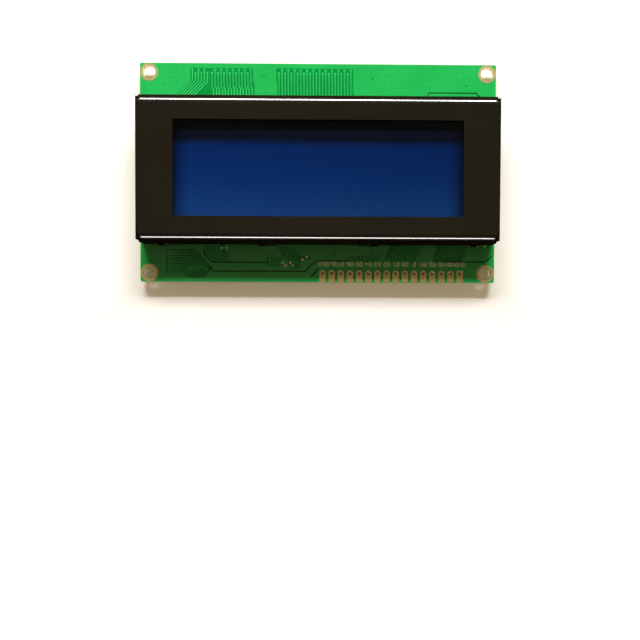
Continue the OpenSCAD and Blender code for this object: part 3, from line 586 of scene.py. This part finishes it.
class Face:
    """One face of the board, on which paths, dots and patches are gathered and then made.

    Places are (across, up), as the reader sees that face with the header row at the top.
    """

    def __init__(self, name, side, level):
        self.name, self.side, self.level = name, side, level
        self.paths, self.dots, self.patches = {}, {}, []

    def path(self, layer, *points):
        self.paths.setdefault(layer, []).append(points)

    def dot(self, layer, *points):
        self.dots.setdefault(layer, []).extend(points)

    def patch(self, *points):
        """Area with its copper etched away."""
        self.patches.append(points)

    def loop(self, layer, *points):
        """Path that ends where it starts."""
        self.path(layer, *points, points[0])

    def box(self, layer, middle, across, up):
        x, y, a, b = middle[0], middle[1], across / 2, up / 2
        self.loop(layer, (x - a, y - b), (x + a, y - b), (x + a, y + b), (x - a, y + b))

    def bundle(self, count, pitch, *points, first=False, last=False, layer="trace"):
        """Traces side by side, the first along the points and the others to its right; the ends can
        have a staggered row of vias."""
        ways = [(Vector(b) - Vector(a)).normalized() for a, b in zip(points, points[1:])]
        for i in range(count):
            lane = []
            for k, point in enumerate(points):
                before, after = ways[max(k - 1, 0)], ways[min(k, len(ways) - 1)]
                side = Vector((before.y + after.y, -before.x - after.x))
                side *= 2 / side.length_squared
                lane.append(Vector(point) + side * i * pitch)
            if first:
                lane[0] += ways[0] * VIA_STAGGER * (i % 2)
                self.dot("via", tuple(lane[0]))
            if last:
                lane[-1] -= ways[-1] * VIA_STAGGER * (i % 2)
                self.dot("via", tuple(lane[-1]))
            self.path(layer, *(tuple(point) for point in lane))

    def at(self, point, thickness):
        return (self.side * point[0], point[1], self.level + self.side * thickness / 2)

    def make(self, clearing_finish, layers):
        for layer, (finish_name, slot, width, thickness) in layers.items():
            chains = self.paths.get(layer, [])
            if chains:
                points, edges = [], []
                for chain in chains:
                    first = len(points)
                    points += [self.at(point, thickness) for point in chain]
                    edges += [(first + i, first + i + 1) for i in range(len(chain) - 1)]
                grow(f"{self.name}_{layer}", STRIP, points, edges, finish_name, slot,
                     Width=width, Thickness=thickness, Rounded=layer == "trace")
            dots = self.dots.get(layer, [])
            if dots:
                grow(f"{self.name}_{layer}_dots", DISC, [self.at(point, thickness) for point in dots], [],
                     finish_name, slot, Radius=width, Thickness=thickness)
        self.make_patches(clearing_finish)

    def make_patches(self, finish_name):
        """Thin plates of mask over bare laminate, one for each etched area."""
        points, faces = [], []
        for outline in self.patches:
            turn = sum(a[0] * b[1] - b[0] * a[1] for a, b in zip(outline, outline[1:] + outline[:1]))
            ring = outline if turn > 0 else outline[::-1]
            low, high, count = len(points), len(points) + len(ring), len(ring)
            for depth in (-0.01, CLEARING):
                points += [Vector((self.side * x, y, self.level + self.side * depth)) * MM for x, y in ring]
            faces.append([high + i for i in range(count)])
            faces.append([low + i for i in reversed(range(count))])
            faces += [(low + i, low + (i + 1) % count, high + (i + 1) % count,
                       high + i) for i in range(count)]
        mesh = bpy.data.meshes.new(self.name + "_clearings")
        mesh.from_pydata(points, [], faces)
        mesh.materials.append(MATERIALS[finish_name])
        piece = bpy.data.objects.new(mesh.name, mesh)
        bpy.context.scene.collection.objects.link(piece)
        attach(piece, "root")


# ---------------------------------------------------------------- lettering

# Each sign is one or more strokes on a grid 4 wide and 6 high; a point is two digits, across and up
SIGNS = {
    "0": "10 01 05 16 36 45 41 30 10", "1": "15 26 20,10 30", "2": "05 16 36 45 44 00 40",
    "3": "06 46 24 34 43 41 30 10 01", "4": "30 36 02 42", "5": "46 06 03 33 42 41 30 10 01",
    "6": "46 26 04 01 10 30 41 42 33 13 02", "7": "06 46 10",
    "8": "13 04 05 16 36 45 44 33 13 02 01 10 30 41 42 33",
    "A": "00 04 26 44 40,02 42", "B": "00 06 36 45 44 33 03,33 42 41 30 00",
    "C": "45 36 16 05 01 10 30 41", "D": "00 06 26 44 42 20 00", "E": "46 06 00 40,03 33",
    "G": "45 36 16 05 01 10 30 41 43 23", "K": "00 06,46 03 40", "L": "06 00 40", "N": "00 06 40 46",
    "O": "10 01 05 16 36 45 41 30 10", "R": "00 06 36 45 44 33 03,23 40",
    "S": "45 36 16 05 04 13 33 42 41 30 10 01",
    "U": "06 01 10 30 41 46", "V": "06 20 46", "W": "06 10 24 30 46", "b": "06 00 30 41 43 34 04",
    "f": "46 36 25 20,04 34", "+": "21 25,03 43",
}


def write(face, layer, words, middle, height, turned=False):
    """Words centred on a place, in strokes; turned means read from the left edge."""
    unit = height / 6
    step = 5.6 * unit
    width = step * len(words) - 1.6 * unit
    for order, sign in enumerate(words):
        for stroke in SIGNS.get(sign, "").split(","):
            points = []
            for mark in stroke.split():
                across = order * step + int(mark[0]) * unit - width / 2
                up = int(mark[1]) * unit - height / 2
                if turned:
                    across, up = -up, across
                points.append((middle[0] + across, middle[1] + up))
            if points:
                face.path(layer, *points)


# ---------------------------------------------------------------- front of the board

FRONT = Face("front", 1, BOARD_TOP)
REAR = Face("rear", -1, BOARD_LOW.z)


def fan(face, start, count, pitch, far, bend, end, shift):
    """Bundle of traces with a staggered double row of vias at the board's edge.

    Runs from `far` straight to `bend`, steps aside by `shift` at 45 degrees and goes on to `end`.
    """
    way = 1 if end > far else -1
    for i in range(count):
        x = start + i * pitch
        top = far + (VIA_STAGGER * way if i % 2 else 0)
        face.dot("via", (x, top))
        lead = bend + way * (0.35 * (i % 2) - 0.2)
        face.path("trace", (x, top), (x, lead), (x + shift, lead + way * abs(shift)), (x + shift, end))


def front_traces():
    """The two bundles that fan out from vias at the far edge, and what shows between them."""
    face = FRONT
    behind = -UNDER_BEZEL
    # Wide bundle near the right end
    face.patch((18.0, -28.7), (35.2, -28.7), (35.2, -25.2), (38.9, -21.6), (38.9, behind), (17.5, behind),
               (17.5, -24.6), (18.0, -25.2))
    fan(face, 18.6, 14, 0.82, -28.2, -23.4, behind, -0.4)
    for i in range(6):
        x = 34.6 - i * 0.82
        top = -28.2 + (VIA_STAGGER if i % 2 else 0)
        bend = -25.3 + i * 0.1
        face.dot("via", (x, top))
        face.path("trace", (x, top), (x, bend), (x - (bend - behind), behind))
    # Bundle of the middle
    face.patch((-9.6, -28.7), (11.6, -28.7), (11.6, -25.0), (11.3, -24.6), (11.3, behind), (-10.9, behind),
               (-10.9, -20.6), (-9.6, -21.9))
    fan(face, -8.9, 24, 0.86, -28.2, -21.4, behind, -0.8)
    # Long conductor near the far left corner
    face.path("gap", (-30.3, behind), (-30.3, -22.3), (-43.6, -22.3), (-47.2, behind))
    for place in ((15.0, -26.5), (-14.9, -26.0), (-40.8, -24.2), (24.8, -20.6), (44.6, -21.0)):
        face.dot("dimple", place)


def near_strip():
    """Conductors of the near strip, between the bezel and the header row."""
    face = FRONT
    behind = UNDER_BEZEL
    # Comb of nine traces at the right end, gathered aslant
    face.patch((41.9, 21.0), (41.9, 27.7), (37.6, 27.7), (35.0, 29.0), (31.5, 29.0), (28.9, 26.2),
               (33.8, 21.0))
    for i in range(9):
        y = 21.5 + i * 0.72
        face.dot("via", (41.2 - (0.5 if i % 2 else 0), y))
        if i < 6:
            turn = 34.2 + i * 0.5
            face.path("trace", (41.2, y), (turn, y), (turn - 4.2 + i * 0.45, y + 4.2 - i * 0.45))
        else:
            turn = 37.0 + (i - 6) * 0.4
            face.path("trace", (41.2, y), (turn, y), (turn - 1.6, y + 1.6))
    for i in range(6):
        face.dot("via", (35.8 - i * 1.0, 26.0 + (0.4 if i % 2 else 0)))
    # Bundle of six that comes out from under the bezel
    face.patch((31.2, behind), (31.2, 22.3), (28.9, 24.7), (24.2, 24.7), (26.6, behind))
    for i in range(6):
        x = 30.9 - i * 0.72
        bend = 22.2 - i * 0.28
        face.path("trace", (x, behind), (x, bend), (x - (24.3 - bend) * 0.9, 24.3))
    # Two long gaps in the copper
    face.path("gap", (31.3, 21.0), (31.3, 22.5), (29.2, 24.55), (14.0, 24.55))
    face.path("gap", (35.0, 20.8), (29.0, 27.0), (3.5, 27.0), (0.5, 24.1), (-8.9, 24.1))
    face.path("gap", (-35.4, 24.2), (-46.5, 24.2), (-48.4, 22.6))
    face.path("gap", (1.9, 28.5), (-0.3, 26.2))
    # Short curls and slanting feeders in the middle
    face.patch((14.1, 23.2), (14.1, 25.6), (9.9, 25.6), (9.9, 23.2))
    for i in range(4):
        x = 13.6 - i * 0.95
        face.path("trace", (x, 23.3), (x - 0.5, 24.0), (x - 0.5, 24.7), (x + 0.1, 25.3))
    face.patch((11.2, 20.4), (10.0, 22.0), (7.4, 26.2), (5.2, 26.2), (4.7, 23.9), (1.9, 23.7), (1.9, 22.9),
               (4.9, 22.7), (7.0, 20.4))
    for i in range(5):
        x = 10.4 - i * 0.72
        face.path("trace", (x, 20.6), (x - 1.9, 22.5), (x - 1.9, 24.4 + 0.2 * i))
    # Row of eight short teeth, and two groups of slanting traces
    face.patch((-8.5, 22.7), (-17.4, 22.7), (-17.4, 24.5), (-8.5, 24.5))
    for i in range(9):
        x = -9.0 - i * 1.0
        face.path("trace", (x, 22.9), (x, 24.0), (x - 0.35, 24.35))
    face.patch((-20.4, behind), (-18.2, 24.6), (-26.6, 24.6), (-30.4, behind))
    for i in range(8):
        x = -18.9 - i * 0.95
        face.path("trace", (x, 24.3), (x - 0.3, 23.6), (x - 4.6, behind + 0.4))
        face.dot("via", (x, 24.3))
    face.patch((-31.8, 24.3), (-33.4, behind), (-42.0, behind), (-39.9, 24.3))
    for i in range(7):
        x = -32.4 - i * 1.0
        face.path("trace", (x, 23.4 - 0.1 * i), (x - 3.2, 20.0), (x - 3.2, behind))
    for place in ((26.5, 20.6), (25.2, 20.6), (9.7, 24.6), (8.9, 25.4), (7.6, 24.6), (6.9, 25.4),
                  (4.2, 23.75),
                  (3.1, 23.0)):
        face.dot("gold_via", place)
    for place in ((22.0, 25.8), (-4.6, 22.2), (-15.0, 21.9), (-42.4, 25.3), (46.6, 24.2)):
        face.dot("dimple", place)
    labels = "GND VDD VO RS RW E D0 D1 D2 D3 D4 D5 D6 D7 BLA BLK".split()
    for i, label in enumerate(labels):
        write(face, "label", label, (PIN_1 + i * PIN_PITCH, 24.95), 1.02)


# ---------------------------------------------------------------- rear of the board

def rear_clearings():
    """Areas of the rear where the copper net gives way to plain mask, under the bundles of traces."""
    face = REAR
    # Left upper quarter, round the first chip
    face.patch((-41.2, 27.2), (-31.4, 27.2), (-31.2, 21.2), (-28.2, 21.2), (-27.2, 22.6), (-25.6, 22.6),
               (-24.5, 21.4),
               (-24.5, 12.2), (-26.0, 10.5), (-26.2, 8.5), (-30.0, 5.2), (-36.0, 3.5), (-38.6, 8.0),
               (-43.0, 10.8),
               (-43.5, 13.2), (-39.0, 13.6), (-39.0, 21.0), (-41.2, 22.5))
    face.patch((-28.2, 5.0), (-22.5, 5.0), (-21.4, 3.5), (-21.4, -2.6), (-25.5, -2.8), (-26.8, -3.5),
               (-28.4, -3.0))
    # Under and beside the third chip
    face.patch((-12.4, 26.0), (-11.2, 27.2), (-4.6, 27.2), (-2.1, 24.6), (-2.1, 13.0), (2.6, 9.2),
               (2.6, -2.0),
               (-3.5, -4.5), (-5.0, 9.5), (-9.8, 11.4), (-9.8, 20.9), (-12.4, 22.4))
    # Under the header row and round the second chip
    face.patch((8.9, 23.9), (31.4, 23.9), (31.4, 17.8), (38.0, 11.0), (38.0, 5.0), (34.0, -1.4),
               (29.0, -1.6),
               (24.3, 10.6), (24.3, 21.0), (19.8, 21.0), (18.6, 22.2), (8.9, 22.2))
    face.patch((10.4, 13.0), (12.2, 10.9), (21.0, 10.9), (19.2, 7.0), (19.5, -1.3), (10.4, -1.3))
    # Left lower quarter, with the wide field below the first chip
    face.patch((-43.4, -0.5), (-38.6, -0.5), (-36.5, -5.0), (-29.5, -5.8), (-27.4, -7.0), (-27.2, -10.5),
               (-29.0, -12.4),
               (-23.6, -17.8), (-23.2, -14.6), (-16.6, -8.0), (-11.5, -8.0), (-11.2, -13.8), (-19.2, -14.6),
               (-19.2, -28.0), (-35.2, -28.0), (-35.2, -15.6), (-38.0, -13.8), (-43.4, -13.8))
    # Field between the two middle tabs, and what joins it to the fourth chip
    face.patch((-10.6, -14.8), (-3.0, -13.2), (-1.6, -7.2), (9.2, -7.2), (9.2, -13.2), (8.4, -14.0),
               (8.4, -28.0),
               (-10.6, -28.0))
    face.patch((9.8, -6.9), (20.4, -6.9), (20.6, -12.2), (16.8, -12.4), (14.6, -11.0), (12.8, -12.6),
               (9.8, -12.8))
    # Round the fifth chip, down to the converter's pads
    face.patch((22.2, -14.2), (29.0, -14.2), (29.8, -15.6), (29.8, -19.6), (20.6, -19.6), (20.6, -16.2))
    face.patch((31.6, -5.8), (35.8, -5.8), (37.2, -9.4), (36.2, -12.0), (37.2, -13.5), (37.2, -19.6),
               (31.6, -19.6))
    face.patch((38.6, -6.4), (40.6, -6.4), (42.6, -8.6), (42.6, -13.8), (38.6, -13.8))


def rear_traces():
    """Bundles that fan out from the five chips to their rows of vias."""
    face = REAR
    # First chip: two bundles from above, one to the right, one down to the left
    face.bundle(11, 0.66, (-31.9, 25.6), (-31.9, 12.0), (-36.2, 7.7), first=True)
    face.bundle(8, 0.62, (-25.2, 20.6), (-25.2, 13.0), (-33.4, 4.8), first=True)
    face.bundle(9, 0.74, (-27.6, 4.4), (-22.4, 4.4), last=True)
    face.bundle(6, 0.80, (-31.4, -5.6), (-28.2, -8.8))
    face.bundle(8, 0.70, (-38.0, -1.2), (-38.0, -13.2), last=True)
    # Third and fourth chips
    face.bundle(6, 0.72, (-6.2, 26.4), (-6.2, 18.4), (-5.0, 17.2), (-5.0, 10.2), first=True)
    face.bundle(7, 0.74, (-2.2, 6.8), (2.2, 6.8), last=True)
    face.bundle(6, 0.74, (-12.0, -12.6), (-15.2, -12.6), (-19.0, -16.4))
    face.bundle(12, 0.76, (-0.8, -15.4), (-0.8, -27.2), last=True)
    face.bundle(8, 0.76, (7.6, -14.2), (7.6, -27.2), last=True)
    face.bundle(6, 0.74, (-1.2, -8.0), (8.2, -8.0), last=True)
    # Second chip
    face.bundle(9, 0.76, (30.8, 23.2), (30.8, 12.8), (28.6, 10.6), first=True)
    face.bundle(6, 0.74, (31.0, 4.4), (36.8, 10.2))
    face.bundle(8, 0.80, (19.2, 3.4), (11.0, 3.4), last=True)
    for i in range(19):
        face.dot("via", (9.4 + i * 0.88, 23.4 - 0.5 * (i % 2)))
    for i in range(9):
        face.dot("via", (31.9 + i * 0.96, 23.3))
    # Fifth chip
    face.bundle(5, 0.74, (20.2, -10.6), (17.4, -10.6), (15.6, -12.4))
    face.bundle(8, 0.78, (28.4, -14.6), (28.4, -19.0), last=True)
    face.bundle(6, 0.78, (36.0, -7.0), (36.0, -19.0), last=True)
    face.bundle(4, 0.80, (41.6, -7.8), (41.6, -13.2), last=True)


def rear_gaps():
    """Long gaps in the copper, and single vias."""
    face = REAR
    for points in (((-12.9, 25.8), (-16.2, 25.8), (-20.1, 21.9), (-20.1, 14.6), (-16.0, 10.6),
                    (-13.9, 8.4)),
                   ((-12.9, 24.5), (-15.7, 24.5), (-18.8, 21.4), (-18.8, 15.1), (-15.4, 11.8),
                    (-11.8, 11.8)),
                   ((-40.0, 28.4), (4.5, 28.4)), ((-38.4, 27.9), (-7.0, 27.9)),
                   ((-25.6, 9.8), (-17.5, 1.6), (-14.8, 5.0)),
                   ((-13.6, 9.0), (-16.3, 9.0), (-18.6, 7.4), (-19.0, 4.6)),
                   ((-47.5, 9.2), (-43.8, 9.2), (-42.4, 10.2), (-40.0, 10.2)),
                   ((0.5, 26.4), (3.0, 26.4), (4.2, 27.6)), ((6.0, 26.8), (8.4, 24.4)),
                   ((9.8, 26.2), (12.0, 24.0)),
                   ((7.4, 22.4), (7.4, 15.4), (9.6, 13.6)), ((13.6, 22.6), (12.2, 21.2)),
                   ((16.2, 22.6), (17.8, 21.2)),
                   ((18.2, 20.2), (18.2, 15.6), (21.6, 11.6)), ((32.2, 17.4), (38.2, 11.4), (41.0, 11.4)),
                   ((36.2, 26.4), (38.2, 28.2)), ((34.0, 25.6), (40.4, 25.6)),
                   ((18.8, -2.0), (34.6, -2.0), (35.0, 1.4)), ((17.4, 0.4), (19.4, 0.4)),
                   ((-48.0, -3.6), (-44.6, -0.4), (-44.6, 2.8), (-42.6, 4.6)),
                   ((-47.2, -2.8), (-45.4, -1.2), (-45.4, 2.2)),
                   ((-19.4, -5.4), (-11.2, -5.4)), ((-19.4, -6.9), (-12.4, -6.9)),
                   ((-2.4, -6.2), (1.2, -6.2), (4.8, -2.6), (13.6, -2.6)),
                   ((-6.0, -2.4), (-2.6, -2.4), (-0.4, -4.8)),
                   ((-17.4, -15.0), (-18.0, -15.0), (-18.0, -28.0)), ((-9.6, -28.8), (-34.2, -28.8)),
                   ((38.0, -24.6), (41.2, -21.4), (42.8, -21.4)), ((43.6, -15.4), (43.6, -20.6)),
                   ((-26.4, -8.4), (-22.4, -4.4), (-22.4, -3.2)),
                   ((9.6, -4.6), (13.4, -4.6), (15.0, -3.2), (17.8, -3.2))):
        face.path("gap", *points)
    for i in range(7):
        face.dot("via", (-31.0 + 0.86 * i, 20.4 - 0.9 * (i % 2)))
        face.dot("via", (-42.9 + 0.88 * i, -14.4 - 0.6 * (i % 2)))
        face.dot("via", (-42.4, 26.4 - 0.86 * i))
        face.dot("via", (7.8 + 0.8 * (i % 2), 14.0 - 1.1 * i))
        face.dot("via", (-44.0 + 0.9 * i, 13.9 - 0.6 * (i % 3)))
        face.dot("via", (-18.4 + 0.7 * (i % 2), 8.2 - 0.8 * i))
    for place in ((-33.6, 16.1), (-48.4, 8.4), (-48.2, 4.0), (-48.6, -3.6), (-44.7, 3.9), (-11.9, 20.4),
                  (24.0, 26.6),
                  (37.2, 23.0), (-24.1, -10.6), (12.6, -6.0), (30.1, -0.8), (4.1, 3.4), (-3.8, -4.8),
                  (-17.6, -27.6),
                  (-26.0, -28.4), (2.9, -28.2), (14.0, -27.0), (27.4, -18.9), (33.0, -18.9), (11.4, -11.8)):
        face.dot("pin_hole", place)


def rear_legend():
    """White frames round the small parts, and their designators."""
    face = REAR
    for middle, across, up in (((-41.2, 5.1), 2.85, 5.4), ((45.6, 12.95), 2.5, 5.2),
                               ((47.6, 5.95), 2.2, 5.0),
                               ((44.7, -10.55), 2.6, 4.0), ((24.2, -24.3), 2.8, 5.4),
                               ((36.25, -24.3), 2.8, 5.4),
                               ((42.4, 1.65), 4.9, 15.3)):
        face.box("frame", middle, across, up)
    for i in range(5):
        up = 6.73 - i * 2.54
        face.path("frame", (39.95, up), (44.85, up))
    face.path("frame", (39.95, -5.4), (39.2, -6.3))
    face.path("frame", (47.1, 13.6), (48.6, 13.6), (48.6, 13.1))
    face.path("frame", (47.1, 10.9), (48.6, 10.9), (48.6, 11.4))
    # The converter's outline has a notch and a dot at its first pin
    face.loop("frame", (29.0, -21.2), (29.6, -21.2), (30.2, -21.9), (30.8, -21.2), (31.4, -21.2),
              (31.4, -27.0), (29.0, -27.0))
    face.dot("frame", (27.3, -21.1))
    for words, middle, height in (("U1", (18.9, 11.9), 1.75), ("U2", (20.3, -4.3), 1.75),
                                  ("U3", (-14.1, 10.6), 1.8),
                                  ("U4", (-13.6, -5.7), 1.75), ("U5", (-37.9, 4.0), 1.6),
                                  ("Rb", (-38.2, 6.4), 1.5),
                                  ("16", (-1.2, 27.9), 1.8), ("1", (41.4, 27.8), 1.6)):
        write(face, "large", words, middle, height)
    for order, words in enumerate("R5 R4 R3 R2 R1 Rf".split()):
        write(face, "small", words, (38.3, 8.0 - order * 2.54), 1.35)
    for words, middle, height in (("R7", (42.6, 10.6), 1.35), ("R6", (47.5, 2.0), 1.35),
                                  ("RD", (45.4, -13.6), 1.45),
                                  ("C1", (24.2, -28.0), 1.45), ("U6", (30.2, -28.0), 1.45),
                                  ("C2", (36.25, -28.0), 1.45),
                                  ("+", (21.6, -22.4), 1.8), ("+", (38.9, -22.4), 1.8),
                                  ("A", (-46.0, 9.0), 1.2),
                                  ("K", (-46.8, -9.5), 1.1)):
        write(face, "small", words, middle, height)
    write(face, "small", "R8", (43.4, 14.2), 1.2, turned=True)


def bezel_and_holes():
    """Edge that the punch rolled round the window, and the plating in the header's holes."""
    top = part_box("bezel_frame")[1].z / MM - 0.145
    across, up, ring = WINDOW_HALF + 0.03, -WINDOW_LOW + 0.03, []
    for quarter, (x, y) in enumerate(((1, 1), (-1, 1), (-1, -1), (1, -1))):
        for step in range(5):
            angle = math.radians(90 * quarter + 22.5 * step)
            ring.append((x * (across - WINDOW_ROUND) + WINDOW_ROUND * math.cos(angle),
                         y * (up - WINDOW_ROUND) + WINDOW_ROUND * math.sin(angle), top))
    grow("rolled_window_edge", ROD, ring, [(i, (i + 1) % len(ring)) for i in range(len(ring))],
         "bezel_black", "bezel_black", Radius=0.14)
    pins = [(PIN_1 + i * PIN_PITCH, PIN_ROW, BOARD_TOP / 2) for i in range(16)]
    grow("header_sleeves", SLEEVE, pins, [], "gold_plate", "gold_plate", Radius=0.475, Wall=0.03,
         Depth=BOARD_TOP)


front_traces()
near_strip()
rear_clearings()
rear_traces()
rear_gaps()
rear_legend()
bezel_and_holes()
REAR.make("mask_on_rear_laminate", {
    "trace": ("mask_on_trace", "solder_mask", 0.34, COPPER),
    "gap": ("mask_on_laminate", "solder_mask", 0.34, GAP),
    "via": ("mask_on_trace", "solder_mask", 0.32, COPPER + 0.01),
    "pin_hole": ("legend_ink", "frame_white", 0.13, INK),
    "frame": ("legend_ink", "frame_white", 0.27, INK + 0.02),
    "large": ("legend_ink", "frame_white", 0.27, INK + 0.02),
    "small": ("legend_ink", "frame_white", 0.21, INK + 0.02),
})
FRONT.make("mask_on_laminate", {
    "trace": ("mask_on_trace", "solder_mask", 0.36, COPPER),
    "gap": ("mask_dark", "solder_mask", 0.36, GAP),
    "via": ("mask_on_trace", "solder_mask", 0.34, COPPER + 0.01),
    "dimple": ("mask_dark", "solder_mask", 0.22, COPPER),
    "gold_via": ("gold_lettering", "gold_plate", 0.3, COPPER + 0.02),
    "label": ("gold_lettering", "gold_plate", 0.17, INK + 0.02),
})

dress_model()
camera()
studio()

scene = bpy.context.scene
scene.view_settings.view_transform = "Standard"
